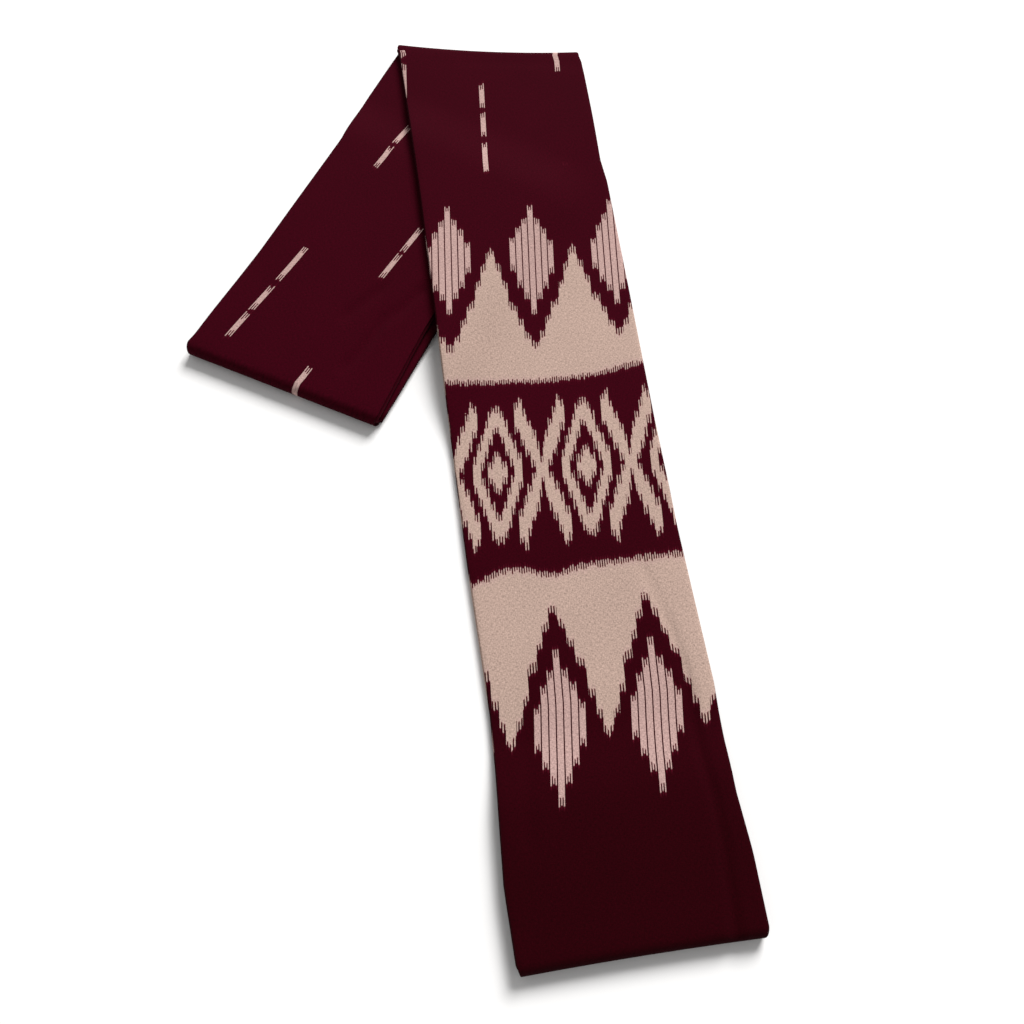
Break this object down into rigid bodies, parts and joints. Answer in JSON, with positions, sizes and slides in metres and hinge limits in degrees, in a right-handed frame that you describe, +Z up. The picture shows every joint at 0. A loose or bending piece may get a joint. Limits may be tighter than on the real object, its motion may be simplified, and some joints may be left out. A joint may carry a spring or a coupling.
{
  "type": "batik cloth",
  "caption": "Printed batik cloth folded into a long six-layer strip, laid in two arms with turned ends, to rest flat on a surface.",
  "frame": {"origin": "under the middle of the bounding box, on the surface that the cloth rests on", "axes": "+X right, +Y away from the viewer along the length, +Z up"},
  "size_m": [0.4812, 0.8794, 0.026],
  "materials": {
    "batik_cloth": "plain-weave cotton, maroon ground with a pink resist print"
  },
  "bodies": {
    "root": {"batik_cloth": "batik_cloth"}
  },
  "joints": []
}
